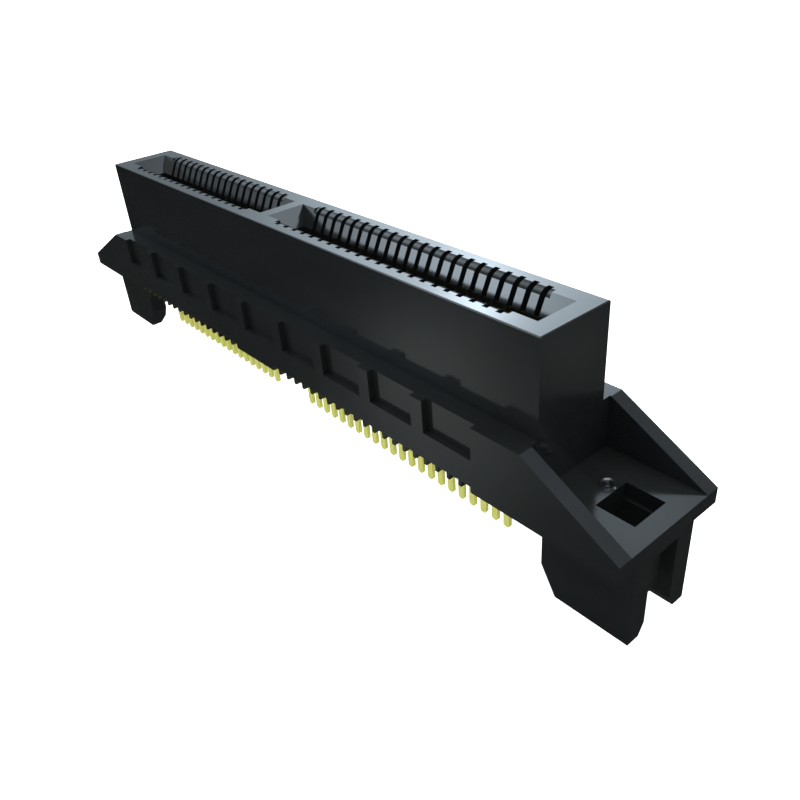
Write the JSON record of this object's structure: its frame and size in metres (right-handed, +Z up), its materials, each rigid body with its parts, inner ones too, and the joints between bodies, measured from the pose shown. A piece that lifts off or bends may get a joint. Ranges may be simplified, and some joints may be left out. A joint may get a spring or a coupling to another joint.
{
  "type": "card edge connector",
  "caption": "Upright straddle mount card edge connector: keyed card mouth over two rows of sprung contacts, recessed ledge, gusseted ears and forked board posts.",
  "frame": {"origin": "under the middle of the housing, at the height of the post tips", "axes": "+X along the card mouth, +Y across it, +Z up out of the mouth; the gate mark is on the +X ear and the key lies toward -X"},
  "size_m": [0.0632, 0.0088, 0.0168],
  "materials": {
    "housing": "satin",
    "contact_gold": "gold plated"
  },
  "bodies": {
    "root": {"housing": "housing", "contact_pair_01": "contact_gold", "contact_pair_02": "contact_gold", "contact_pair_03": "contact_gold", "contact_pair_04": "contact_gold", "contact_pair_05": "contact_gold", "contact_pair_06": "contact_gold", "contact_pair_07": "contact_gold", "contact_pair_08": "contact_gold", "contact_pair_09": "contact_gold", "contact_pair_10": "contact_gold", "contact_pair_11": "contact_gold", "contact_pair_12": "contact_gold", "contact_pair_13": "contact_gold", "contact_pair_14": "contact_gold", "contact_pair_15": "contact_gold", "contact_pair_16": "contact_gold", "contact_pair_17": "contact_gold", "contact_pair_18": "contact_gold", "contact_pair_19": "contact_gold", "contact_pair_20": "contact_gold", "contact_pair_21": "contact_gold", "contact_pair_22": "contact_gold", "contact_pair_23": "contact_gold", "contact_pair_24": "contact_gold", "contact_pair_25": "contact_gold", "contact_pair_26": "contact_gold", "contact_pair_27": "contact_gold", "contact_pair_28": "contact_gold", "contact_pair_29": "contact_gold", "contact_pair_30": "contact_gold", "contact_pair_31": "contact_gold", "contact_pair_32": "contact_gold", "contact_pair_33": "contact_gold", "contact_pair_34": "contact_gold", "contact_pair_35": "contact_gold", "contact_pair_36": "contact_gold", "contact_pair_37": "contact_gold", "contact_pair_38": "contact_gold", "contact_pair_39": "contact_gold", "contact_pair_40": "contact_gold"}
  },
  "joints": []
}
